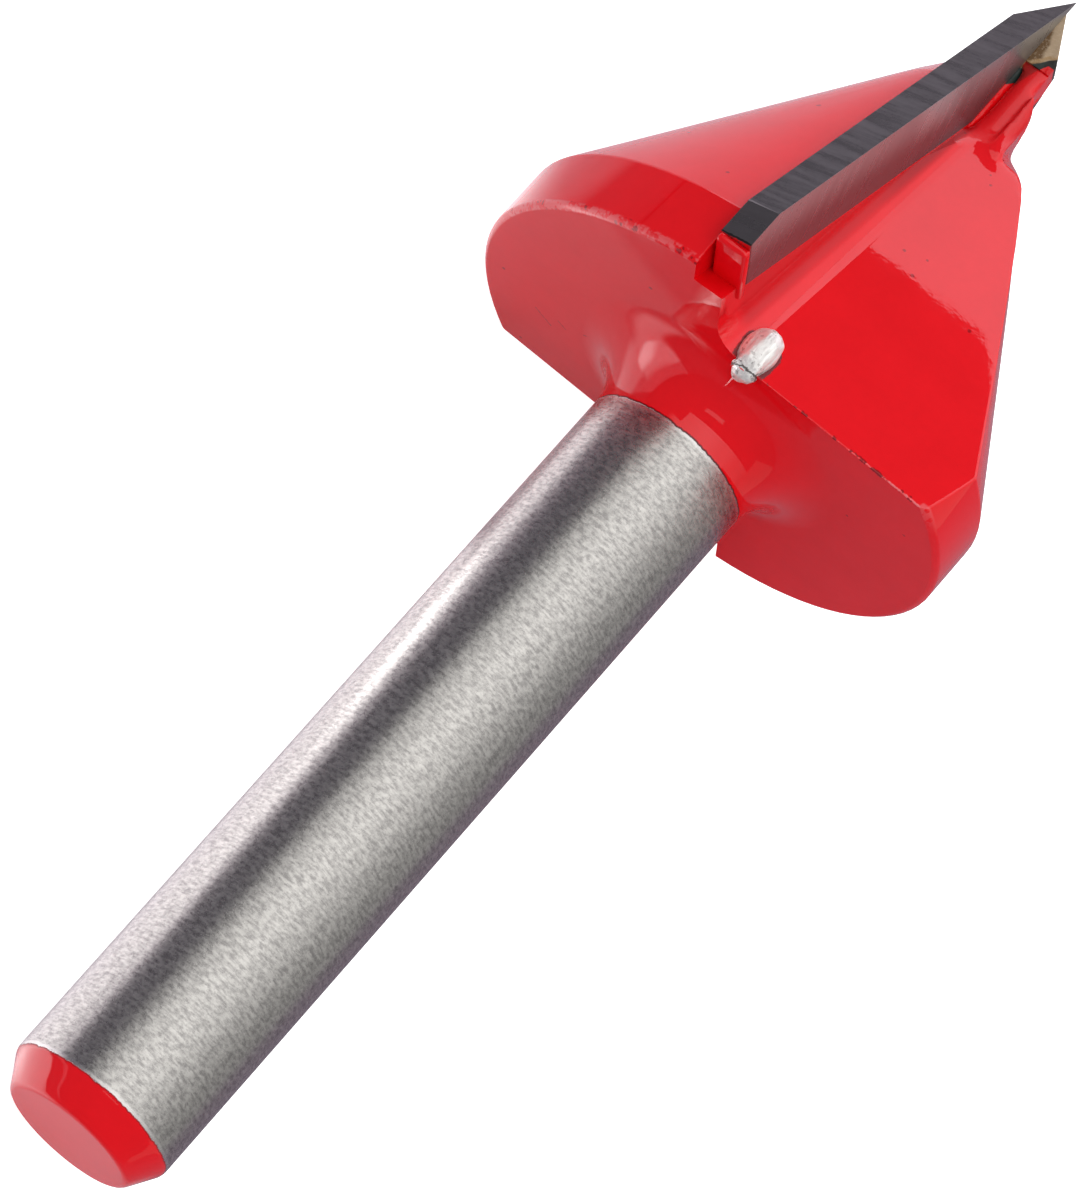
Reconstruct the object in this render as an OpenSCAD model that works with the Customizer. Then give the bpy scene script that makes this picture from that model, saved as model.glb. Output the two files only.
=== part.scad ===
// A two-flute router bit that cuts V-shaped grooves.
// One turned and milled steel body (shank, neck and head) carries two
// carbide inserts, each brazed into a slot along one side of the V.
// The tool is drawn upright first, with its axis along Z and its shank
// end at zero, and is then laid down as it comes to rest on a table.

/* [Shank] */
// Diameter of the shank, mm
shank_diameter = 6; // [5:0.05:8]
// Length of the straight shank, from its end face to the neck, mm
shank_length = 30.1; // [15:0.1:45]
// Diameter of the flat face at the shank's end, mm
shank_end_diameter = 4.66; // [3:0.02:4.8]
// Length of the chamfer at the shank's end, mm
shank_chamfer = 1.12; // [0.3:0.02:2]
// Radius of the hollow round between the shank and the head, mm
neck_round = 2.2; // [1:0.1:2.4]

/* [Head] */
// Diameter of the steel head, mm
head_diameter = 18.7; // [16:0.1:20]
// Length of the head's straight land, mm
head_land = 2.4; // [1.6:0.1:4]
// Bevel round the head's back edge, mm
head_bevel = 0.16; // [0.05:0.01:0.4]
// How far the steel core stops short of the cutting tip, mm
core_stop = 2.7; // [1.6:0.1:4]

/* [V angle] */
// Angle between the two cutting edges, degrees
v_angle = 60; // [58:1:64]

/* [Flutes] */
// Distance from the axis to the flute floor at the head's back, mm
floor_height = 5.17; // [4.6:0.01:5.8]
// Slope of the flute floor towards the axis, degrees
floor_slope = 20; // [18:0.1:21]
// How far the floor opens out from square to the wall, degrees
floor_splay = 8.1; // [2:0.1:12]
// Radius at the root of the flute, mm
root_round = 1.1; // [0.5:0.05:1.3]
// Set-back of the flute wall behind the insert's rake face, mm
wall_step = 0.12; // [0.05:0.01:0.25]
// Angle of the cut that ends each wing near the tip, degrees
wing_end_slope = 50; // [40:1:60]

/* [Inserts] */
// How far the cutting corners stand out past the head, mm
corner_overhang = 0.825; // [0.4:0.025:1.2]
// Width of an insert, square to its cutting edge, mm
insert_width = 3; // [2.4:0.1:3.4]
// Thickness of an insert, mm
insert_thickness = 1.15; // [0.8:0.05:1.4]
// Length of the straight land at the cutting corner, mm
corner_land = 1.5; // [0.6:0.1:2]
// Distance from the head's back face to the insert's rear end, mm
insert_inset = 1.1; // [0.4:0.1:2]
// Distance of the rake face ahead of the axis, mm
rake_ahead = 0.1; // [0.05:0.01:0.2]
// Clearance angle ground behind the cutting edges, degrees
relief_angle = 15; // [8:1:20]
// How far the first insert reaches past the axis, mm
first_reach = 0.12; // [0.04:0.01:0.2]
// How far the second insert stops short of the axis, mm
second_stop = 0.1; // [0.06:0.01:0.3]
// How much shorter the first insert's end is at its back face, mm
first_end_trim = 0.95; // [0.6:0.05:1.1]
// How much shorter the second insert's end is at its back face, mm
second_end_trim = 1.2; // [0.9:0.05:1.4]
// Thickness of the braze behind and below each insert, mm
braze_thickness = 0.08; // [0.05:0.01:0.12]
// How far the braze stops short of the cutting tip, mm
braze_stop = 0.2; // [0.2:0.05:1]
// How steeply the braze falls away from the axis at the tip, degrees
braze_fall = 63; // [50:1:70]

/* [Nib] */
// Diameter of the bare steel nib at the back of each flute, mm
nib_diameter = 1.2; // [0.8:0.05:1.6]
// Length of the nib, mm
nib_length = 1.8; // [1.2:0.1:2.4]

/* [Show] */
// Which sub-part to draw

/* [Hidden] */
$fn = 96;

// Radii and heights of the upright tool.
shank_r = shank_diameter / 2;
head_r = head_diameter / 2;
half_angle = v_angle / 2;
back_z = shank_length + neck_round;
land_z = back_z + head_land;
apex_z = land_z + head_r / tan(half_angle);

// Insert outline, in the plane of its rake face.
corner_r = head_r + corner_overhang;
corner_y = sqrt(pow(corner_r, 2) - pow(rake_ahead, 2));
insert_z = back_z + insert_inset;
corner_z = insert_z + corner_land;
tip_z = corner_z + corner_y / tan(half_angle);
inner_z = tip_z - insert_width / sin(half_angle);
core_z = tip_z - core_stop;
core_x = insert_thickness - rake_ahead;
braze_z = tip_z - braze_stop;

// Flute: the wall is upright, the floor slopes along the root line.
wall_x = wall_step - rake_ahead;
floor_lean = atan(tan(floor_slope) / cos(floor_splay));
floor_turn = atan(tan(floor_splay) / cos(floor_lean));
root_y = (floor_height + wall_x * sin(floor_turn)) / cos(floor_turn);
wing_cut_x = insert_thickness + 0.5;
wing_cut_z = inner_z - 0.4;
wing_cut_y = root_y - wing_cut_x * tan(floor_turn) - (wing_cut_z - back_z) * tan(floor_lean);

// Nib: it lies on the flute floor, at the edge of the back face.
nib_r = nib_diameter / 2;
nib_x = -root_round - 0.05;
nib_y = root_y + nib_x * tan(floor_turn) - nib_r * 0.6;

// Rest on a table: the tool lies on one insert's rear corner, on the
// back corner of the land beyond the flute, and on the shank's rim.
land_corner_z = back_z + head_bevel;
land_reach = floor_height - (land_corner_z - back_z) * tan(floor_slope);
land_corner_a = 270 + floor_turn + acos(land_reach / head_r);
insert_corner_a = 270 + asin(rake_ahead / corner_r);
gap_x = corner_r * cos(insert_corner_a) - head_r * cos(land_corner_a);
gap_y = corner_r * sin(insert_corner_a) - head_r * sin(land_corner_a);
gap_r = sqrt(gap_x * gap_x + gap_y * gap_y);
gap_a = atan2(gap_y, gap_x);

// Tangent of the tilt for a given lowest side, and the other way round.
function tilt_for(a) = (corner_r * cos(a - insert_corner_a) - shank_r) / (insert_z - shank_chamfer);
function side_for(t) = gap_a + acos(t * (insert_z - land_corner_z) / gap_r);
function settle(a, n) = n == 0 ? a : settle(side_for(tilt_for(a)), n - 1);

low_side = settle(300, 12);
tilt = atan(tilt_for(low_side));
lift = cos(tilt) * (shank_r - shank_chamfer * tan(tilt));
tail_x = -sin(tilt) * shank_end_diameter / 2;
point_z = tip_z + first_reach / tan(half_angle);
point_side = first_reach * sin(low_side) + rake_ahead * cos(low_side);
tip_x = cos(tilt) * point_z - sin(tilt) * point_side;

// Lays the upright tool down: its lowest side first, then its tilt.
module lay_down() {
    translate([-(tail_x + tip_x) / 2, 0, lift])
        rotate([0, -tilt, 0])
            rotate([0, 90, 0])
                rotate([0, 0, -low_side])
                    children();
}

// Half outline of the turned body, from the shank's end to the cone.
module body_outline() {
    difference() {
        polygon([
            [0, 0],
            [shank_end_diameter / 2, 0],
            [shank_r, shank_chamfer],
            [shank_r, back_z - neck_round],
            [shank_r + neck_round, back_z - neck_round],
            [shank_r + neck_round, back_z],
            [head_r - head_bevel, back_z],
            [head_r, back_z + head_bevel],
            [head_r, land_z],
            [0, apex_z]
        ]);
        translate([shank_r + neck_round, back_z - neck_round])
            circle(r = neck_round);
    }
}

// Flute section, square to the root line: an upright wall at zero, a
// floor that falls away from it, and a round between the two.
module flute_section() {
    far = 16;
    round_y = root_round * (1 - sin(floor_splay)) / cos(floor_splay);
    polygon([
        [0, round_y],
        [0, far],
        [-far, far],
        [-far, -far * tan(floor_splay)],
        [-root_round * (1 - sin(floor_splay)), round_y - root_round * cos(floor_splay)]
    ]);
    translate([-root_round, round_y])
        circle(r = root_round);
}

// One flute: the sloping cut, which stops at the middle of the tool
// where it runs beside the other wing, and the cut that ends that wing.
module flute() {
    intersection() {
        translate([wall_x, root_y, back_z])
            rotate([floor_lean, 0, 0])
                translate([0, 0, -9])
                    linear_extrude(height = 44)
                        flute_section();
        union() {
            translate([-20, 0, back_z - 4])
                cube([20 + wall_x, 20, 30]);
            translate([-20, -4, back_z - 4])
                cube([20 - wing_cut_x, 8, 30]);
        }
    }
    intersection() {
        translate([-wing_cut_x, wing_cut_y, wing_cut_z])
            rotate([0, 0, floor_turn])
                rotate([wing_end_slope, 0, 0])
                    translate([-8, 0, -1])
                        cube([12, 6, 8]);
        translate([-20, -8, back_z])
            cube([20 - wing_cut_x, 16, 30]);
    }
}

// Insert outline in its own plane. It can be grown at its inner edges,
// and run on past its outer edges and rear end to give an open slot.
module insert_outline(grow, open, reach) {
    inner = inner_z - grow / sin(half_angle);
    rear_z = insert_z - open;
    polygon([
        [-reach, inner + reach / tan(half_angle)],
        [-reach, tip_z + reach / tan(half_angle) + open],
        [corner_y + open, corner_z + open],
        [corner_y + open, rear_z],
        [(inner - rear_z) * tan(half_angle), rear_z]
    ]);
}

// Block with the insert's outline, standing on its rake plane. Its end
// near the axis slopes back by the trim over the insert's thickness.
module insert_block(reach, trim, grow = 0, open = 0, front = 0) {
    difference() {
        translate([-rake_ahead - front, 0, 0])
            rotate([90, 0, 90])
                linear_extrude(height = insert_thickness + grow + front)
                    insert_outline(grow, open, reach + grow);
        translate([-rake_ahead, -reach, inner_z - 6])
            rotate([0, 0, atan2(trim, insert_thickness)])
                translate([-6, -6 - grow, 0])
                    cube([12, 6, 18]);
    }
}

// What grinding takes away behind one cutting edge and its corner.
module relief_cut(deeper) {
    translate([-rake_ahead, 0, tip_z])
        rotate([half_angle - 90, 0, 0])
            rotate([0, relief_angle, 0])
                translate([-6, -6, -deeper])
                    cube([12, 40, 4]);
    translate([-rake_ahead, corner_y - deeper, insert_z - 1])
        rotate([0, 0, -relief_angle])
            cube([6, 4, 12]);
}

module insert(reach, trim) {
    difference() {
        insert_block(reach, trim);
        relief_cut(0);
    }
}

// Slim web that stands between the ends of the two inserts, from the
// wings up to the given height. Each half lies behind one flute.
module web(top_z) {
    for (turn = [0, 180])
        rotate([0, 0, turn])
            translate([-core_x, -core_x * 1.4, inner_z - 1])
                cube([core_x + wall_x, core_x * 1.4, top_z - inner_z + 1]);
}

// Space round the axis above the end of the steel core.
module above_core() {
    half_side = 3 * insert_thickness;
    translate([-half_side, -half_side, core_z])
        cube([2 * half_side, 2 * half_side, core_stop + 1]);
}

// Bare steel nib on the flute floor, rounded at its front end.
module nib() {
    translate([nib_x, nib_y, back_z - 0.25])
        cylinder(h = nib_length - nib_r, r = nib_r);
    translate([nib_x, nib_y, back_z - 0.25 + nib_length - nib_r])
        sphere(r = nib_r);
}

module body_upright() {
    difference() {
        union() {
            rotate_extrude()
                body_outline();
            web(core_z);
        }
        for (turn = [0, 180])
            rotate([0, 0, turn])
                flute();
        insert_block(first_reach, first_end_trim, braze_thickness, 6, 1);
        rotate([0, 0, 180])
            insert_block(-second_stop, second_end_trim, braze_thickness, 6, 1);
        above_core();
    }
    for (turn = [0, 180])
        rotate([0, 0, turn])
            nib();
}

// Braze: it lines both slots and fills the web above the steel, and is
// ground a little lower than the carbide.
module braze_upright() {
    difference() {
        union() {
            intersection() {
                union() {
                    insert_block(first_reach, first_end_trim, braze_thickness);
                    rotate([0, 0, 180])
                        insert_block(-second_stop, second_end_trim, braze_thickness);
                }
                union() {
                    rotate_extrude()
                        body_outline();
                    web(braze_z);
                }
            }
            intersection() {
                web(braze_z);
                above_core();
            }
        }
        insert_block(first_reach, first_end_trim, 0, 6, 2);
        rotate([0, 0, 180])
            insert_block(-second_stop, second_end_trim, 0, 6, 2);
        for (turn = [0, 180])
            rotate([0, 0, turn]) {
                relief_cut(0.04);
                translate([0, 0, braze_z])
                    rotate([0, -braze_fall, 0])
                        translate([-4, -3, 0])
                            cube([8, 6, 3]);
            }
    }
}

module body() {
    color("#d0202a")
        lay_down()
            body_upright();
}

module insert_first() {
    color("#4c4b4d")
        lay_down()
            insert(first_reach, first_end_trim);
}

module insert_second() {
    color("#4c4b4d")
        lay_down()
            rotate([0, 0, 180])
                insert(-second_stop, second_end_trim);
}

module braze() {
    color("#b08a4a")
        lay_down()
            braze_upright();
}

body();
insert_first();
insert_second();
braze();
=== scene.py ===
import math

import bmesh
import bpy
from mathutils import Matrix, Vector, noise


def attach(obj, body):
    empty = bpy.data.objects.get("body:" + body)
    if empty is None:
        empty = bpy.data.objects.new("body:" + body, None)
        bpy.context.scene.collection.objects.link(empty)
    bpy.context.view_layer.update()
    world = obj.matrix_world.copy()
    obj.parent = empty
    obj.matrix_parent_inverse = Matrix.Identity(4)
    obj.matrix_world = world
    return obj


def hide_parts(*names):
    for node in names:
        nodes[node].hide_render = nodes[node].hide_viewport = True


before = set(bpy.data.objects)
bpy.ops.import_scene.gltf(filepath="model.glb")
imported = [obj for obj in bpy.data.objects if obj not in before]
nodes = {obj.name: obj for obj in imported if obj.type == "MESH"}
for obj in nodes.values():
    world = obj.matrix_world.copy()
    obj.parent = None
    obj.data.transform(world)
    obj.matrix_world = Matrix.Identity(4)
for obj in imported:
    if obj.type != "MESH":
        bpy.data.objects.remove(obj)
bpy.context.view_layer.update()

# The tool's own frame inside the row's frame: its origin is the middle of
# the shank's end, +Z runs along the axis to the tip, and the first
# insert's rake face looks along -X.
TOOL_ORIGIN = Vector((-0.0258326, 0.0, 0.0027793))
TOOL_X = Vector((0.0950507, 0.8092057, -0.5797857))
TOOL_Y = Vector((-0.1309144, 0.5875254, 0.7985457))
TOOL_Z = Vector((0.9868266, 0.0, 0.1617814))

# Places on the tool, in millimetres in its own frame.
PAINT_START = 30.1
BACK_Z = 32.3
BEVEL_Z = 32.46
LAND_Z = 34.7
CORNER_Z = 34.9
APEX_Z = 50.89
HEAD_R = 9.35
SHANK_R = 3.0
CHAMFER_Z = 1.12
# The neck's fillet: the ring's radius and place along the axis, and its tube's radius.
NECK_RING = (5.2, 30.1, 2.2)
# How far from the cutting edge the corner beside an insert begins.
CORNER_FROM = 2.9
# Where the rounding of the steel at the tip begins and ends.
SOFT_Z = 45.4
SOFT_END_Z = 49.5
SOFT_EDGE = 0.22
# A nib: its place across the axis, the middle of its round end, and its radius.
NIB = (-1.15, 4.70, 33.25, 0.6)
# The bead over a nib: its radius, half its length and its middle.
BEAD_R = 0.62
BEAD_HALF = 1.08
BEAD_Z = 32.98
# Opposite corners of the paint block behind the first insert.
CAP_LOW = (-0.14, 6.9, 33.1)
CAP_HIGH = (1.03, 9.91, 33.44)
FLUTE_BACK_EDGE = ((1.68, -4.97, 32.3), (8.29, -3.97, 32.3))
# The cutting edge lies where EDGE_FROM - z/2 - 0.866 |y| is 0.
EDGE_FROM = 26.26
COS_30 = 0.866


def row_point(x, y, z):
    """A place given in the tool's frame, in mm, as a point of the row's frame in metres."""
    return TOOL_ORIGIN + (TOOL_X * x + TOOL_Y * y + TOOL_Z * z) / 1000


# ---------------------------------------------------------------- camera

CAMERA_PLACE = Vector((-0.105019, 0.070861, 0.173065))
CAMERA_RIGHT = Vector((0.531333, -0.610749, 0.587088))
CAMERA_DOWN = Vector((-0.688859, -0.714856, -0.120228))
CAMERA_FORWARD = Vector((0.493112, -0.340539, -0.800546))
SENSOR_MM = 36
FOCAL_PIXELS = 6467
PICTURE_PIXELS = 1200


def add_camera():
    data = bpy.data.cameras.new("camera")
    data.sensor_fit = "AUTO"
    data.sensor_width = SENSOR_MM
    data.lens = SENSOR_MM * FOCAL_PIXELS / PICTURE_PIXELS
    data.clip_start = 0.01
    data.clip_end = 20
    camera = bpy.data.objects.new("camera", data)
    bpy.context.scene.collection.objects.link(camera)
    turn = Matrix((CAMERA_RIGHT, -CAMERA_DOWN, -CAMERA_FORWARD)).transposed()
    camera.matrix_world = Matrix.Translation(CAMERA_PLACE) @ turn.to_4x4()
    bpy.context.scene.camera = camera


# ---------------------------------------------------------------- shader helpers


class Graph:
    """Builds a material's nodes with few words: values, vectors and sockets mix freely."""

    def __init__(self, name):
        self.material = bpy.data.materials.new(name)
        self.material.use_nodes = True
        self.tree = self.material.node_tree
        self.shader = self.tree.nodes["Principled BSDF"]

    def node(self, kind, **settings):
        made = self.tree.nodes.new(kind)
        for key, value in settings.items():
            setattr(made, key, value)
        return made

    def put(self, socket, value):
        if isinstance(value, bpy.types.NodeSocket):
            self.tree.links.new(value, socket)
        elif value is not None:
            socket.default_value = value

    def math(self, operation, a, b=None, clamp=False):
        made = self.node("ShaderNodeMath", operation=operation, use_clamp=clamp)
        for socket, value in zip(made.inputs, (a, b)):
            self.put(socket, value)
        return made.outputs[0]

    def add(self, a, b):
        return self.math("ADD", a, b)

    def sub(self, a, b):
        return self.math("SUBTRACT", a, b)

    def mul(self, a, b):
        return self.math("MULTIPLY", a, b)

    def high(self, a, b):
        return self.math("MAXIMUM", a, b)

    def low(self, a, b):
        return self.math("MINIMUM", a, b)

    def size(self, a):
        return self.math("ABSOLUTE", a)

    def step(self, value, start, end):
        """0 before start, 1 after end, smooth between; end may be below start."""
        made = self.node("ShaderNodeMapRange", interpolation_type="SMOOTHSTEP")
        self.put(made.inputs["Value"], value)
        low, high = (start, end) if end > start else (end, start)
        made.inputs["From Min"].default_value = low
        made.inputs["From Max"].default_value = high
        made.inputs["To Min"].default_value = 0.0 if end > start else 1.0
        made.inputs["To Max"].default_value = 1.0 if end > start else 0.0
        return made.outputs[0]

    def vector(self, operation, a, b=None):
        made = self.node("ShaderNodeVectorMath", operation=operation)
        self.put(made.inputs[0], a)
        if b is not None:
            self.put(made.inputs[1], b)
        number = operation in ("DOT_PRODUCT", "LENGTH", "DISTANCE")
        return made.outputs["Value" if number else "Vector"]

    def scaled(self, a, scale):
        made = self.node("ShaderNodeVectorMath", operation="SCALE")
        self.put(made.inputs[0], a)
        self.put(made.inputs["Scale"], scale)
        return made.outputs["Vector"]

    def joined(self, x, y, z):
        made = self.node("ShaderNodeCombineXYZ")
        for socket, value in zip(made.inputs, (x, y, z)):
            self.put(socket, value)
        return made.outputs[0]

    def noise(self, vector, scale, detail, rough):
        made = self.node("ShaderNodeTexNoise")
        self.put(made.inputs["Vector"], vector)
        made.inputs["Scale"].default_value = scale
        made.inputs["Detail"].default_value = detail
        made.inputs["Roughness"].default_value = rough
        return made.outputs["Fac"]

    def cells(self, vector, scale):
        made = self.node("ShaderNodeTexVoronoi", feature="F1")
        self.put(made.inputs["Vector"], vector)
        made.inputs["Scale"].default_value = scale
        return made

    def blend(self, share, a, b):
        made = self.node("ShaderNodeMix", data_type="RGBA")
        self.put(made.inputs["Factor"], share)
        self.put(made.inputs[6], a if isinstance(a, bpy.types.NodeSocket) else (*a, 1))
        self.put(made.inputs[7], b if isinstance(b, bpy.types.NodeSocket) else (*b, 1))
        return made.outputs[2]

    def between(self, share, a, b):
        """A number that goes from a to b with the share."""
        made = self.node("ShaderNodeMix", data_type="FLOAT")
        self.put(made.inputs[0], share)
        self.put(made.inputs[2], a)
        self.put(made.inputs[3], b)
        return made.outputs[0]

    def bump(self, height):
        """The normal of a height given in mm."""
        made = self.node("ShaderNodeBump")
        made.inputs["Strength"].default_value = 1.0
        made.inputs["Distance"].default_value = 0.001
        self.put(made.inputs["Height"], height)
        return made.outputs["Normal"]

    def tool_place(self):
        """The shaded point in the tool's frame, in mm: a vector and its x, y and z."""
        coord = self.node("ShaderNodeTexCoord").outputs["Object"]
        rel = self.vector("SUBTRACT", coord, TOOL_ORIGIN)
        x, y, z = (
            self.mul(self.vector("DOT_PRODUCT", rel, axis), 1000)
            for axis in (TOOL_X, TOOL_Y, TOOL_Z)
        )
        return self.joined(x, y, z), x, y, z

    def near_spot(self, place, centre):
        """Distance in mm from a place on the tool."""
        return self.vector("DISTANCE", place, centre)

    def near_line(self, place, start, end):
        """Distance in mm from a straight line between two places on the tool."""
        start, end = Vector(start), Vector(end)
        along = end - start
        away = self.vector("SUBTRACT", place, start)
        share = self.mul(self.vector("DOT_PRODUCT", away, along), 1 / along.length_squared)
        share = self.math("ADD", share, 0.0, clamp=True)
        foot = self.vector("ADD", self.scaled(along, share), start)
        return self.vector("DISTANCE", place, foot)

    def from_edge(self, y, z):
        """Distance in mm inwards from the cutting edge."""
        return self.sub(
            self.sub(EDGE_FROM, self.mul(z, 0.5)), self.mul(self.size(y), COS_30)
        )

    def nearest(self, distances):
        found = distances[0]
        for other in distances[1:]:
            found = self.low(found, other)
        return found


# ---------------------------------------------------------------- materials

# Small marks in the paint, in the tool's frame: centre and radius in mm.
PITS = [
    (-1.83, 1.98, 40.38, 0.06), (-2.58, 1.76, 40.67, 0.05), (-2.62, 2.09, 39.75, 0.08),
    (-5.23, 1.82, 39.42, 0.07), (-2.13, 0.23, 45.03, 0.05), (-1.88, 0.14, 45.38, 0.04),
    (2.65, 8.18, 36.01, 0.06), (2.95, 4.42, 41.69, 0.08), (5.28, 5.54, 37.64, 0.06),
    (4.29, 8.15, 32.32, 0.07), (4.09, 8.25, 32.32, 0.06), (3.55, 8.55, 32.37, 0.09),
    (8.44, 0.15, 32.30, 0.06), (7.55, -3.66, 32.30, 0.05), (2.69, 5.65, 32.30, 0.07),
]
SCRATCHES = [
    ((7.04, -0.91, 32.3), (6.39, -1.39, 32.3)),
    ((5.05, -0.47, 32.3), (4.60, -0.10, 32.3)),
    ((6.10, -0.75, 32.3), (5.80, -0.95, 32.3)),
    ((2.10, 7.42, 37.75), (1.20, 7.85, 38.15)),
]
# Cells per mm that scatter the other pits.
CELL_SCALE = 0.62


def body_material():
    g = Graph("painted_steel")
    place, x, y, z = g.tool_place()
    radius = g.math("SQRT", g.add(g.mul(x, x), g.mul(y, y)))
    angle = g.math("ARCTAN2", y, x)
    arc = g.mul(angle, 3.0)
    slow = g.noise(place, 0.5, 1.0, 0.5)
    fine = g.noise(place, 3.0, 2.0, 0.6)
    grit = g.noise(place, 9.0, 2.0, 0.65)
    ragged = g.mul(g.sub(grit, 0.5), 0.12)

    # The paint's edges on the shank wander a little.
    wander = g.mul(g.sub(g.noise(g.joined(angle, 0.0, 0.0), 3.4, 4.0, 0.75), 0.5), 0.26)
    edge_z = g.add(z, wander)
    on_neck = g.step(edge_z, PAINT_START - 0.01, PAINT_START + 0.01)
    on_end = g.step(edge_z, CHAMFER_Z + 0.05, CHAMFER_Z + 0.03)
    paint = g.high(on_neck, on_end)

    # Distance from the axis of either bare nib.
    nib = None
    for sign in (1, -1):
        dx = g.sub(x, sign * NIB[0])
        dy = g.sub(y, sign * NIB[1])
        dz = g.high(g.sub(z, NIB[2]), 0.0)
        away = g.math("SQRT", g.add(g.add(g.mul(dx, dx), g.mul(dy, dy)), g.mul(dz, dz)))
        nib = away if nib is None else g.low(nib, away)

    # Red: a deep gloss coat that varies slowly.
    red = g.blend(slow, (0.84, 0.0035, 0.0080), (0.95, 0.0055, 0.0115))
    red = g.blend(g.mul(fine, 0.16), red, (0.52, 0.0012, 0.0030))

    # Dark pits and scratches, some placed and some scattered.
    marks = [g.sub(g.near_spot(place, spot[:3]), spot[3]) for spot in PITS]
    marks += [g.sub(g.near_line(place, a, b), 0.02) for a, b in SCRATCHES]
    cell = g.cells(place, CELL_SCALE)
    luck = g.node("ShaderNodeTexWhiteNoise", noise_dimensions="3D")
    g.put(luck.inputs["Vector"], cell.outputs["Position"])
    pit = g.mul(g.math("POWER", luck.outputs["Value"], 5.0), 0.08)
    marks.append(g.sub(g.mul(cell.outputs["Distance"], 1 / CELL_SCALE), pit))
    pitted = g.step(g.add(g.nearest(marks), g.mul(ragged, 0.8)), 0.02, -0.02)
    red = g.blend(g.mul(pitted, 0.7), red, (0.20, 0.002, 0.004))

    # Edges that rub: thin, light paint with dark chips beside it; the light paint is partly a
    # painted highlight on the edge and the dark chips partly a painted shadow.
    turned = ((-x, -y, z) for x, y, z in FLUTE_BACK_EDGE)
    rub = g.low(g.near_line(place, *FLUTE_BACK_EDGE), g.near_line(place, *turned))
    on_rim = g.mul(g.step(z, 32.60, 32.50), g.step(z, 32.27, 32.32))
    on_rim = g.mul(on_rim, g.step(radius, 9.10, 9.16))
    on_rim = g.mul(on_rim, g.step(y, 2.5, 4.5))
    worn_and_highlit = g.high(
        g.mul(g.step(g.add(rub, ragged), 0.085, 0.045), g.step(fine, 0.40, 0.50)),
        g.mul(on_rim, g.mul(0.55, g.step(fine, 0.44, 0.56))),
    )
    chipped_and_shaded = g.high(
        g.mul(g.step(g.add(rub, ragged), 0.15, 0.10), g.step(fine, 0.46, 0.40)),
        g.mul(on_rim, g.mul(0.8, g.step(fine, 0.37, 0.33))),
    )
    red = g.blend(g.mul(worn_and_highlit, 0.6), red, (0.86, 0.26, 0.28))
    red = g.blend(g.mul(chipped_and_shaded, 0.8), red, (0.12, 0.002, 0.004))

    # Painted shade: the coat is darker in the corner along each insert's inner side.
    inward = g.add(g.from_edge(y, z), ragged)
    corner_shade = g.mul(g.step(g.size(x), 0.45, 0.20), g.step(inward, CORNER_FROM - 0.4, CORNER_FROM))
    corner_shade = g.mul(corner_shade, g.mul(g.step(z, 33.2, 33.8), g.step(z, 48.5, 47.0)))
    corner_shade_depth = g.between(g.step(z, 40.0, 44.0), 0.35, 0.75)
    red = g.blend(g.mul(corner_shade, corner_shade_depth), red, (0.30, 0.002, 0.005))

    # Soot from brazing darkens the paint beside the first insert's tip.
    soot = g.step(g.sub(z, g.mul(g.size(x), 3.3)), 47.55, 47.95)
    soot = g.mul(g.mul(soot, g.step(z, 47.6, 48.8)), g.step(g.size(x), 1.0, 0.8))
    red = g.blend(g.mul(soot, 0.55), red, (0.10, 0.02, 0.016))

    # The coat ends in a thin dark line on the shank; the dark ring round the nibs is partly that
    # line and partly painted shade where the beads meet the paint.
    lip_and_nib_shade = g.step(g.size(g.sub(edge_z, PAINT_START + 0.02)), 0.05, 0.02)
    at_end = g.step(g.size(g.sub(edge_z, CHAMFER_Z + 0.03)), 0.05, 0.02)
    nib_lip_and_shade = g.step(g.add(nib, ragged), NIB[3] + 0.15, NIB[3] + 0.09)
    lip_and_nib_shade = g.high(lip_and_nib_shade, g.mul(0.6, at_end))
    lip_and_nib_shade = g.high(lip_and_nib_shade, g.mul(nib_lip_and_shade, g.step(z, 32.25, 32.4)))
    red = g.blend(g.mul(lip_and_nib_shade, 0.85), red, (0.03, 0.002, 0.003))

    # Bare steel, ground round the shank, with flecks and small dents.
    streaks = g.noise(g.joined(g.mul(arc, 2.6), 0.0, g.mul(z, 9.0)), 1.0, 3.0, 0.65)
    mottle = g.noise(g.joined(g.mul(arc, 0.8), g.mul(radius, 0.3), z), 5.5, 3.0, 0.7)
    ground = g.add(g.mul(streaks, 0.55), g.mul(mottle, 0.45))
    steel = g.blend(g.step(ground, 0.36, 0.64), (0.29, 0.277, 0.268), (0.57, 0.552, 0.522))
    dents = g.step(g.add(mottle, g.mul(streaks, 0.5)), 0.46, 0.38)
    steel = g.blend(g.mul(dents, 0.75), steel, (0.10, 0.095, 0.10))
    bright = g.high(
        g.mul(
            g.step(edge_z, PAINT_START - 0.16, PAINT_START - 0.08),
            g.step(edge_z, PAINT_START + 0.1, PAINT_START),
        ),
        g.mul(
            g.step(edge_z, CHAMFER_Z + 0.20, CHAMFER_Z + 0.12),
            g.step(edge_z, CHAMFER_Z - 0.1, CHAMFER_Z),
        ),
    )
    steel = g.blend(g.mul(bright, 0.6), steel, (0.72, 0.70, 0.68))

    g.put(g.shader.inputs["Base Color"], g.blend(paint, steel, red))
    g.put(g.shader.inputs["Metallic"], g.sub(1.0, paint))
    paint_rough = g.add(0.012, g.mul(g.high(lip_and_nib_shade, g.high(worn_and_highlit, soot)), 0.30))
    steel_rough = g.between(mottle, 0.20, 0.36)
    g.put(g.shader.inputs["Roughness"], g.between(paint, steel_rough, paint_rough))
    g.shader.inputs["IOR"].default_value = 1.5
    g.shader.inputs["Specular Tint"].default_value = (1.0, 0.97, 1.0, 1.0)

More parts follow.
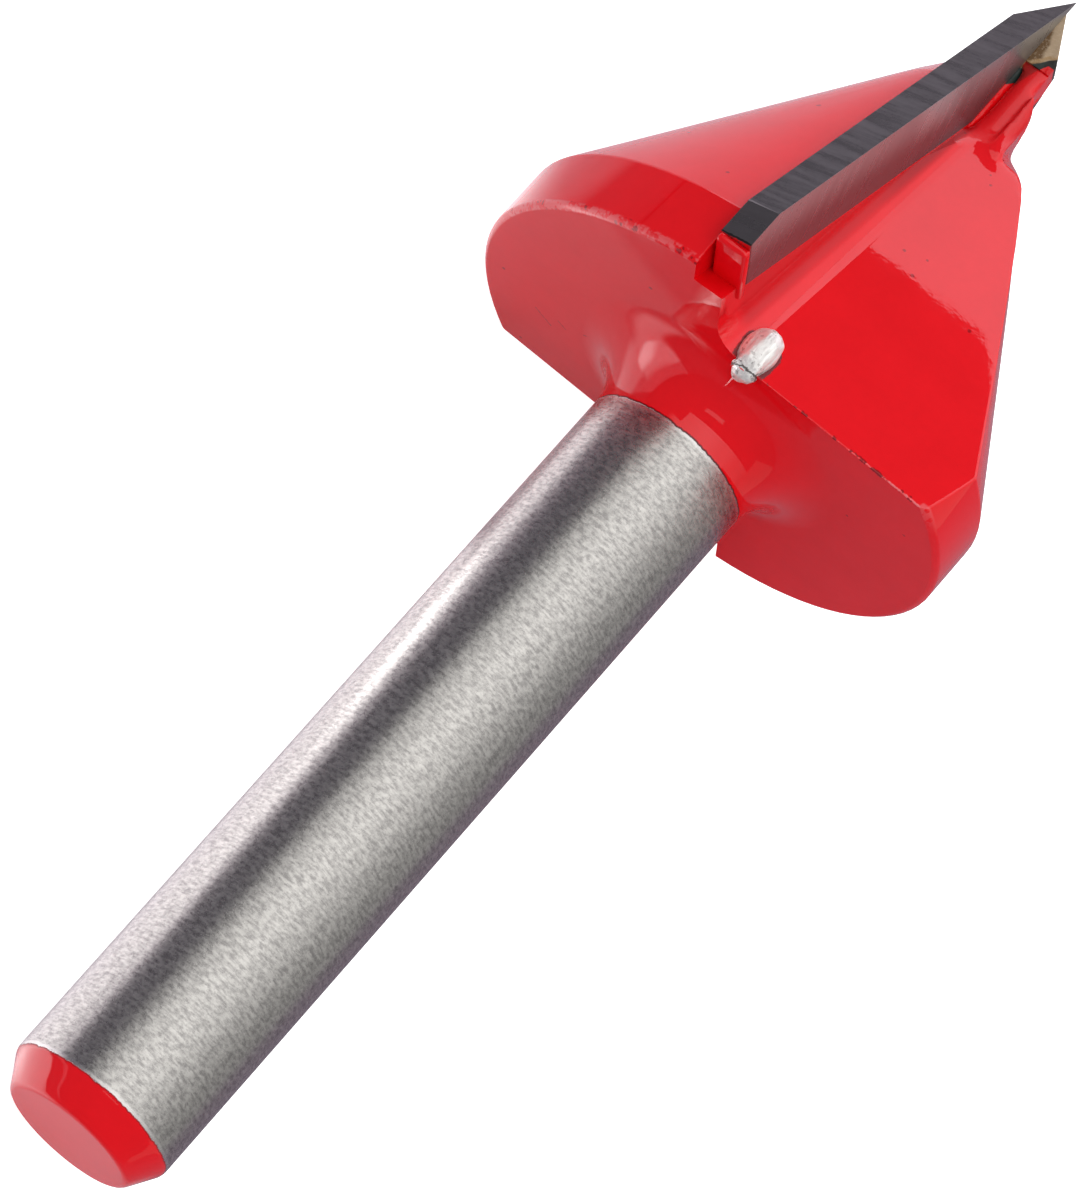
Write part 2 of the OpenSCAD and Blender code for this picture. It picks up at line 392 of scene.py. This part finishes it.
    # Height in mm: the paint lies on the steel with a very slight wave and
    # stands rounded on the slim core near the tip; the shank has grinding
    # marks round it. Pits and chips are colour only.
    wave = g.add(g.mul(slow, 0.0010), g.mul(fine, 0.00022))
    side = g.sub(g.size(x), 0.72)
    crown = g.mul(g.mul(g.mul(side, side), -0.5), g.step(z, 46.2, 47.4))
    paint_height = g.add(g.add(0.03, wave), crown)
    height = g.between(paint, g.mul(ground, 0.011), paint_height)
    g.put(g.shader.inputs["Normal"], g.bump(height))
    return g.material


def nib_material():
    g = Graph("nib_steel")
    place, x, y, z = g.tool_place()
    streaks = g.noise(g.joined(g.mul(x, 4.0), g.mul(y, 4.0), g.mul(z, 0.7)), 1.0, 3.0, 0.6)
    spots = g.noise(place, 4.0, 2.0, 0.6)
    steel = g.blend(g.step(streaks, 0.36, 0.62), (0.76, 0.745, 0.72), (0.98, 0.965, 0.93))
    steel = g.blend(g.mul(g.step(spots, 0.40, 0.34), 0.5), steel, (0.24, 0.22, 0.21))
    # A dark crack crosses its rear end.
    crack = g.sub(g.add(z, g.mul(g.sub(spots, 0.5), 0.5)), 32.22)
    crack = g.step(g.size(crack), 0.07, 0.03)
    steel = g.blend(g.mul(crack, 0.85), steel, (0.03, 0.025, 0.022))
    g.put(g.shader.inputs["Base Color"], steel)
    g.put(g.shader.inputs["Metallic"], 0.5)
    g.put(g.shader.inputs["Roughness"], g.between(spots, 0.25, 0.5))
    g.put(g.shader.inputs["Normal"], g.bump(g.add(g.mul(streaks, 0.06), g.mul(spots, 0.04))))
    return g.material


def carbide_material():
    g = Graph("carbide")
    place, x, y, z = g.tool_place()
    # Grinding lines cross the cutting edge, so they vary along it.
    along = g.sub(g.mul(z, COS_30), g.mul(g.size(y), 0.5))
    lines = g.noise(g.joined(g.mul(along, 1.9), g.mul(x, 0.25), 0.0), 1.0, 3.0, 0.6)
    spots = g.noise(place, 6.0, 2.0, 0.6)
    mix = g.add(g.mul(lines, 0.85), g.mul(spots, 0.15))
    grey = g.blend(g.step(mix, 0.34, 0.66), (0.026, 0.024, 0.027), (0.078, 0.074, 0.079))
    land = g.step(z, CORNER_Z + 0.02, CORNER_Z - 0.02)
    grey = g.blend(g.mul(land, 0.7), grey, (0.21, 0.195, 0.20))

    # The rake face is polished and lighter, warmer towards its inner side.
    side = g.sub(g.mul(g.step(y, -0.30, -0.25), 2.0), 1.0)
    rake = g.step(g.mul(x, side), -0.094, -0.099)
    inner = g.step(g.add(g.from_edge(y, z), g.mul(g.sub(lines, 0.5), 1.2)), 0.0, 2.2)
    face = g.blend(inner, (0.27, 0.285, 0.29), (0.080, 0.076, 0.083))
    # Painted highlight: a lighter patch on the rake face near the cutting edge, about z 44 to 46.
    painted_highlight = g.mul(g.step(z, 46.2, 44.8), g.step(z, 42.6, 44.0))
    face = g.blend(g.mul(g.mul(painted_highlight, g.sub(1.0, inner)), 0.6), face, (0.48, 0.48, 0.48))
    face = g.blend(g.mul(g.step(z, 47.5, 50.0), 0.5), face, (0.20, 0.17, 0.14))
    grey = g.blend(rake, grey, face)

    # The rear end is buried under the head's paint.
    ragged = g.mul(g.sub(spots, 0.5), 0.10)
    rear = g.step(g.add(z, ragged), 33.42, 33.40)
    rim = g.mul(g.step(g.add(z, ragged), 33.50, 33.47), g.sub(1.0, rear))
    grey = g.blend(g.mul(rim, 0.8), grey, (0.01, 0.006, 0.006))
    g.put(g.shader.inputs["Base Color"], g.blend(rear, grey, (0.60, 0.0025, 0.0050)))
    metal = g.between(rake, 0.85, 0.35)
    g.put(g.shader.inputs["Metallic"], g.mul(metal, g.sub(1.0, rear)))
    g.put(g.shader.inputs["Roughness"], g.between(rear, g.between(mix, 0.22, 0.34), 0.05))
    g.put(g.shader.inputs["Normal"], g.bump(g.mul(lines, 0.0012)))
    return g.material


def braze_material():
    g = Graph("braze")
    place, x, y, z = g.tool_place()
    blotch = g.noise(place, 2.6, 2.0, 0.6)
    fine = g.noise(place, 9.0, 2.0, 0.65)
    ragged = g.mul(g.sub(blotch, 0.5), 0.5)
    aside = g.size(x)

    # Pale tan on the outer side, brown beside the insert, a tan bead and
    # then nearly black beside the steel.
    pale = g.step(g.add(g.add(g.mul(aside, 1.6), g.mul(g.sub(z, 50.5), 0.5)), ragged), 0.55, 0.80)
    tan = g.blend(pale, (0.155, 0.085, 0.034), (0.46, 0.34, 0.22))
    up = g.sub(z, g.mul(aside, 1.0))
    bead = g.step(g.size(g.sub(g.add(up, ragged), 49.66)), 0.16, 0.06)
    tan = g.blend(g.mul(bead, 0.85), tan, (0.40, 0.25, 0.115))
    tan = g.blend(g.mul(g.step(fine, 0.5, 0.62), 0.3), tan, (0.60, 0.47, 0.33))
    dark = g.step(g.add(g.sub(z, g.mul(aside, 1.25)), g.mul(ragged, 0.3)), 49.42, 49.34)
    black = g.blend(g.step(aside, 0.6, 0.8), (0.008, 0.020, 0.016), (0.012, 0.011, 0.008))
    tan = g.blend(dark, tan, black)

    # Red paint runs a little way up over it on the outer side.
    reach = g.low(g.add(48.47, g.mul(aside, 2.0)), 50.12)
    red = g.step(g.sub(g.add(z, g.mul(ragged, 0.1)), reach), 0.01, -0.03)
    g.put(g.shader.inputs["Base Color"], g.blend(red, tan, (0.76, 0.0030, 0.0060)))
    g.put(g.shader.inputs["Metallic"], g.mul(g.sub(1.0, g.high(red, dark)), 0.35))
    g.put(g.shader.inputs["Roughness"], g.between(red, g.between(fine, 0.28, 0.48), 0.05))
    g.put(g.shader.inputs["Normal"], g.bump(g.add(g.mul(blotch, 0.03), g.mul(fine, 0.006))))
    return g.material


def dress(node, material):
    mesh = nodes[node].data
    mesh.materials.clear()
    mesh.materials.append(material)


# ---------------------------------------------------------------- body


def on_tool(point):
    """A point of the row's frame, in metres, in the tool's frame in mm."""
    away = (Vector(point) - TOOL_ORIGIN) * 1000
    return Vector((away.dot(TOOL_X), away.dot(TOOL_Y), away.dot(TOOL_Z)))


def on_head_surface(p):
    """Whether a place lies on the head's turned land or cone."""
    r = math.hypot(p.x, p.y)
    if p.z < LAND_Z + 0.01:
        return p.z > BEVEL_Z - 0.01 and abs(r - HEAD_R) < 0.03
    return abs(r - (APEX_Z - p.z) * math.tan(math.radians(30))) < 0.03


def on_chamfer_rim(p):
    return abs(p.z - CHAMFER_Z) < 0.02 and math.hypot(p.x, p.y) > 2.9


def on_land_rim(p):
    return abs(p.z - LAND_Z) < 0.01 and math.hypot(p.x, p.y) > 9.2


def on_bevel(p):
    return BACK_Z - 0.01 < p.z < BEVEL_Z + 0.01 and math.hypot(p.x, p.y) > 9.1


def on_flute_back(p):
    return abs(p.z - BACK_Z) < 0.01 and 3.9 < abs(p.y) < 5.0 and p.x * p.y < -6


def convex_edges(form, test, least, highest=99.0):
    """Edges whose faces meet outwards by at least an angle and whose two ends pass a test."""
    found = []
    for edge in form.edges:
        if len(edge.link_faces) != 2 or not edge.is_convex:
            continue
        if edge.calc_face_angle() < math.radians(least):
            continue
        ends = [on_tool(v.co) for v in edge.verts]
        if all(test(p) and p.z < highest for p in ends):
            found.append(edge)
    return found


def ease(form, edges, width):
    bmesh.ops.bevel(
        form, geom=edges, offset=width / 1000, offset_type="OFFSET", segments=3,
        profile=0.5, affect="EDGES", clamp_overlap=False, loop_slide=True,
    )


def draw_in_nibs(form):
    """Pulls the nibs in under the lumpy beads that stand for them."""
    for vert in form.verts:
        p = on_tool(vert.co)
        for sign in (1, -1):
            axis = Vector((sign * NIB[0], sign * NIB[1], 0))
            away = Vector((p.x, p.y, 0)) - axis
            if away.length < NIB[3] + 0.01 and 31.9 < p.z < 34.0:
                held = axis + away * 0.65
                vert.co = row_point(held.x, held.y, 32.3 + (p.z - 32.3) * 0.8)


def soften_tip(form):
    """Rounds the painted steel where the flutes run out and on the core beyond them."""
    bmesh.ops.bisect_plane(
        form, geom=form.verts[:] + form.edges[:] + form.faces[:],
        plane_co=row_point(0, 0, SOFT_Z), plane_no=TOOL_Z,
    )

    def above(item):
        return all(on_tool(v.co).z > SOFT_Z - 0.001 for v in item.verts)

    bmesh.ops.triangulate(form, faces=[face for face in form.faces if above(face)])
    for _ in range(6):
        long = [e for e in form.edges if e.calc_length() > SOFT_EDGE / 1000 and above(e)]
        bmesh.ops.subdivide_edges(form, edges=long, cuts=1)
        wide = [face for face in form.faces if above(face) and len(face.verts) > 3]
        bmesh.ops.triangulate(form, faces=wide)
    soft = [v for v in form.verts if SOFT_Z + 0.1 < on_tool(v.co).z < SOFT_END_Z]
    for _ in range(12):
        bmesh.ops.smooth_vert(
            form, verts=soft, factor=0.5, use_axis_x=True, use_axis_y=True, use_axis_z=True,
        )


def turned_normal(p):
    """The exact normal of a place on the shank, neck fillet, back face or cone, else None."""
    r = math.hypot(p.x, p.y)
    ring_r, ring_z, tube = NECK_RING
    from_ring = math.hypot(r - ring_r, p.z - ring_z)
    if CHAMFER_Z < p.z < ring_z - 0.001 and abs(r - SHANK_R) < 0.01:
        radial, axial = 1.0, 0.0
    elif p.z > ring_z - 0.01 and r < ring_r + 0.001 and abs(from_ring - tube) < 0.02:
        radial, axial = (ring_r - r) / tube, (ring_z - p.z) / tube
    elif abs(p.z - BACK_Z) < 0.001:
        radial, axial = 0.0, -1.0
    elif p.z > LAND_Z + 0.05 and on_head_surface(p):
        radial, axial = math.cos(math.radians(30)), 0.5
    else:
        return None
    return (TOOL_X * p.x + TOOL_Y * p.y) * (radial / r) + TOOL_Z * axial


# A face of more square metres than this that isn't turned is flat.
LARGE_FLAT = 1e-5


def exact_normals(body):
    """Keeps the weighted normals, but takes exact ones on the turned and the large flat faces."""
    mesh = body.data
    evaluated = body.evaluated_get(bpy.context.evaluated_depsgraph_get())
    normals = [corner.vector.copy() for corner in evaluated.data.corner_normals]
    body.modifiers.clear()
    for face in mesh.polygons:
        places = [on_tool(mesh.vertices[i].co) for i in face.vertices]
        exact = [turned_normal(p) for p in places]
        if face.area > LARGE_FLAT and not all(exact):
            for loop in face.loop_indices:
                normals[loop] = face.normal.copy()
        elif all(exact) and all(n.dot(face.normal) > 0.9 for n in exact):
            for loop, normal in zip(face.loop_indices, exact):
                normals[loop] = normal
    mesh.normals_split_custom_set(normals)


def add_piece(name, form, material):
    mesh = bpy.data.meshes.new(name)
    form.to_mesh(mesh)
    form.free()
    mesh.shade_smooth()
    mesh.materials.append(material)
    piece = bpy.data.objects.new(name, mesh)
    bpy.context.scene.collection.objects.link(piece)
    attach(piece, "root")


def add_nib(name, sign, material):
    """A lumpy bead of bare steel over one nib."""
    form = bmesh.new()
    bmesh.ops.create_icosphere(form, subdivisions=5, radius=1)
    for vert in form.verts:
        n = vert.co.copy()
        ring = math.hypot(n.x, n.y)
        swell = 1 + 0.09 * noise.noise(n * 1.6 + Vector((3.1, 0.4, 1.7)))
        swell += 0.03 * noise.noise(n * 4)
        # A rounder side than an egg's: the radius falls late towards the ends.
        fuller = min(1.0, ring ** 0.84) / ring if ring > 1e-6 else 1.0
        px, py = n.x * fuller * BEAD_R * swell, n.y * fuller * BEAD_R * swell
        pz = n.z * BEAD_HALF * swell
        vert.co = row_point(sign * (NIB[0] + px), sign * (NIB[1] + py), BEAD_Z + pz)
    add_piece(name, form, material)


def add_cap(name, sign, material):
    """The paint that buries an insert's rear end: a soft-edged block."""
    form = bmesh.new()
    bmesh.ops.create_cube(form, size=1)
    low, high = Vector(CAP_LOW), Vector(CAP_HIGH)
    for vert in form.verts:
        part = Vector(a * b for a, b in zip(vert.co, high - low))
        vert.co = low + (high - low) * 0.5 + part
    bmesh.ops.bevel(form, geom=form.edges[:], offset=0.12, segments=4, profile=0.5, affect="EDGES")
    for vert in form.verts:
        p = vert.co + Vector((1, 1, 1)) * 0.03 * noise.noise(vert.co * 2.2)
        vert.co = row_point(sign * p.x, sign * p.y, p.z)
    add_piece(name, form, material)


def add_body(material):
    """The body with the paint's soft edges: the CAD solid with its long outer edges rounded."""
    form = bmesh.new()
    form.from_mesh(nodes["body"].data)
    bmesh.ops.remove_doubles(form, verts=form.verts, dist=2e-7)
    bmesh.ops.dissolve_limit(
        form, angle_limit=math.radians(0.05), use_dissolve_boundaries=False,
        verts=form.verts, edges=form.edges,
    )
    ease(form, convex_edges(form, lambda p: p.z < 0.01, 18), 0.15)
    ease(form, convex_edges(form, on_chamfer_rim, 18), 0.12)
    sharp = set(convex_edges(form, on_head_surface, 50, 46.2))
    sharp |= set(convex_edges(form, on_land_rim, 18))
    sharp |= set(convex_edges(form, on_bevel, 30))
    sharp |= set(convex_edges(form, on_flute_back, 18))
    ease(form, list(sharp), 0.07)
    draw_in_nibs(form)
    soften_tip(form)
    for face in form.faces:
        face.smooth = True
    for edge in form.edges:
        edge.smooth = len(edge.link_faces) == 2 and edge.calc_face_angle() < math.radians(28)
    mesh = bpy.data.meshes.new("body_painted")
    form.to_mesh(mesh)
    form.free()
    mesh.materials.append(material)
    body = bpy.data.objects.new("body_painted", mesh)
    bpy.context.scene.collection.objects.link(body)
    weighted = body.modifiers.new("weighted", "WEIGHTED_NORMAL")
    weighted.keep_sharp = True
    exact_normals(body)
    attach(body, "root")
    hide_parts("body")


# ---------------------------------------------------------------- studio


# The right-hand card's colour, slightly pink as the paint mirrors it in the photograph.
PINK = (1.0, 0.93, 1.0)

# Glowing patches on the floor, seen in reflections only. Each has a strength and the
# places in metres where its sides go from dark to full: left, right, near and far.
# The first shows in the neck's fillet.
NECK_PATCH = (2.6, (-0.006, -0.002), (0.0026, 0.0016), (0.0085, 0.010), (0.020, 0.014))
PATCHES = (
    # Shows in the chamfer of the shank's end.
    (2.1, (-0.036, -0.029), (-0.0240, -0.0248), (0.0012, 0.0040), (0.0125, 0.0112)),
    # Show in the shank's left side, a wide one and one farther out.
    (0.95, (-0.0260, -0.0242), (0.002, 0.0), (0.002, 0.004), (0.034, 0.020)),
    (0.4, (-0.0260, -0.0242), (0.002, 0.0), (0.009, 0.013), (0.040, 0.028)),
    # Shows in the shank close to the head.
    (0.8, (0.0, 0.002), (0.014, 0.010), (0.0066, 0.0085), (0.024, 0.018)),
    # Faint ones that show in the head's back face and in the shank's end face.
    (0.16, (0.0018, 0.0024), (0.016, 0.012), (-0.003, 0.0), (0.014, 0.009)),
    (0.22, (-0.040, -0.034), (-0.0240, -0.0246), (-0.008, -0.005), (0.004, 0.0012)),
)


def add_floor():
    """White floor: pure white to the camera, with glowing patches and painted shade in
    reflections.
    """
    mesh = bpy.data.meshes.new("floor")
    form = bmesh.new()
    bmesh.ops.create_circle(form, cap_ends=True, segments=96, radius=3)
    form.to_mesh(mesh)
    form.free()
    floor = bpy.data.objects.new("floor", mesh)
    bpy.context.scene.collection.objects.link(floor)
    g = Graph("floor")
    g.shader.inputs["Roughness"].default_value = 0.9
    g.shader.inputs["Specular IOR Level"].default_value = 0.0
    g.shader.inputs["Emission Color"].default_value = (1, 1, 1, 1)
    place = g.node("ShaderNodeSeparateXYZ")
    g.put(place.inputs[0], g.node("ShaderNodeTexCoord").outputs["Object"])
    x, y = place.outputs["X"], place.outputs["Y"]
    path = g.node("ShaderNodeLightPath")
    glossy = path.outputs["Is Glossy Ray"]
    # Painted shade, seen only in reflections: the neck's fillet, farther up than the shank, sees a
    # dark floor past the shank.
    far = g.step(path.outputs["Ray Length"], 0.0115, 0.013)
    past = g.mul(far, g.step(g.add(y, g.mul(x, 0.7)), 0.006, 0.003))
    past = g.mul(past, g.step(x, -0.003, -0.006))
    # Painted shade, seen only in reflections: the head's land sees a dark floor behind the tool,
    # and the floor darkens towards -Y.
    behind = g.mul(g.step(g.sub(y, x), 0.004, 0.013), g.step(x, 0.009, 0.015))
    dark = g.add(g.mul(g.high(past, behind), 1.5), g.step(y, 0.001, -0.006))
    painted_floor_shade = g.mul(glossy, g.low(dark, 1.0))
    lit = g.blend(glossy, (0.86, 0.86, 0.86), (0.86, 0.79, 0.87))
    g.put(g.shader.inputs["Base Color"], g.blend(painted_floor_shade, lit, (0.30, 0.26, 0.31)))

    def patch(strength, left, right, near, far):
        across = g.mul(g.step(x, *left), g.step(x, *right))
        return g.mul(strength, g.mul(across, g.mul(g.step(y, *near), g.step(y, *far))))

    glow = patch(g.mul(far, NECK_PATCH[0]), *NECK_PATCH[1:])
    for strength, *sides in PATCHES:
        glow = g.add(glow, patch(strength, *sides))
    glow = g.mul(glow, g.sub(1.0, past))
    white = g.mul(path.outputs["Is Camera Ray"], 0.9)
    g.put(g.shader.inputs["Emission Strength"], g.add(g.mul(glow, glossy), white))
    mesh.materials.append(g.material)


def add_card(name, corners, strength, shown=True, colour=(1, 1, 1)):
    """A luminous card, hidden from the camera: a soft light and its reflections.

    The strength is a number, or pairs of a place along Y and the strength there.
    A card that isn't shown lights the model but stays out of its reflections.
    """
    mesh = bpy.data.meshes.new(name)
    mesh.from_pydata([Vector(c) for c in corners], [], [tuple(range(len(corners)))])
    card = bpy.data.objects.new(name, mesh)
    bpy.context.scene.collection.objects.link(card)
    g = Graph(name)
    g.shader.inputs["Base Color"].default_value = (0, 0, 0, 1)
    g.shader.inputs["Specular IOR Level"].default_value = 0
    g.shader.inputs["Emission Color"].default_value = (*colour, 1)
    if isinstance(strength, tuple):
        split = g.node("ShaderNodeSeparateXYZ")
        g.put(split.inputs[0], g.node("ShaderNodeTexCoord").outputs["Object"])
        stops, strength = strength, strength[0][1]
        for (start, _), (end, glow) in zip(stops, stops[1:]):
            strength = g.between(g.step(split.outputs["Y"], start, end), strength, glow)
    g.put(g.shader.inputs["Emission Strength"], strength)
    mesh.materials.append(g.material)
    card.visible_camera = False
    card.visible_shadow = False
    card.visible_glossy = shown


def add_studio():
    add_floor()
    add_card(
        "softbox_top",
        [
            (-0.17, -1.20, 0.45), (0.40, -1.20, 0.45), (0.40, 0.62, 0.45),
            (0.05, 0.62, 0.45), (0.05, 0.36, 0.45), (-0.17, 0.36, 0.45),
        ],
        (
            (0.62, 0.35), (0.42, 1.05), (0.30, 1.25), (0.05, 1.55),
            (-0.20, 1.10), (-0.45, 0.70), (-1.20, 0.40),
        ),
    )
    add_card(
        "strip_top",
        [(-0.45, 0.0, 0.45), (-0.35, 0.0, 0.45), (-0.35, 0.25, 0.45), (-0.45, 0.25, 0.45)],
        1.1,
    )
    add_card(
        "fill_top",
        [(-0.34, -0.6, 0.46), (-0.18, -0.6, 0.46), (-0.18, 0.4, 0.46), (-0.34, 0.4, 0.46)],
        1.7,
        shown=False,
    )
    add_card(
        "softbox_right",
        [
            (0.5, 0.42, 0.0), (0.5, 0.42, 0.156), (0.5, 0.1677, 0.2874),
            (0.5, 0.150, 0.2966), (0.5, 0.130, 0.42), (0.5, 0.0, 0.54),
            (0.5, -0.33, 0.64), (0.5, -0.90, 0.64), (0.5, -0.90, 0.0),
        ],
        ((0.10, 1.95), (0.0, 1.75), (-0.12, 1.3), (-0.45, 0.75), (-0.85, 0.3)),
        colour=PINK,
    )
    world = bpy.data.worlds.new("studio")
    bpy.context.scene.world = world
    world.use_nodes = True
    tree = world.node_tree
    back = tree.nodes["Background"]
    path = tree.nodes.new("ShaderNodeLightPath")
    mix = tree.nodes.new("ShaderNodeMix")
    mix.data_type = "RGBA"
    mix.inputs[6].default_value = (0.185, 0.175, 0.205, 1)
    mix.inputs[7].default_value = (1, 1, 1, 1)
    tree.links.new(path.outputs["Is Camera Ray"], mix.inputs[0])
    tree.links.new(mix.outputs[2], back.inputs["Color"])
    add_card(
        "fill_left",
        [(-0.5, -0.15, 0.02), (-0.5, 0.45, 0.02), (-0.5, 0.45, 0.42), (-0.5, -0.15, 0.42)],
        0.88,
        shown=False,
    )
    add_card(
        "strip_low",
        [(-0.3, -0.5, 0.0), (0.3, -0.5, 0.0), (0.3, -0.5, 0.24), (-0.3, -0.5, 0.24)],
        0.45,
    )
    bpy.context.scene.view_settings.view_transform = "Standard"


add_camera()
paint = body_material()
add_body(paint)
bare = nib_material()
for name, sign in (("first", 1), ("second", -1)):
    add_nib("nib_" + name, sign, bare)
    add_cap("cap_" + name, sign, paint)
carbide = carbide_material()
dress("insert_first", carbide)
dress("insert_second", carbide)
dress("braze", braze_material())
add_studio()
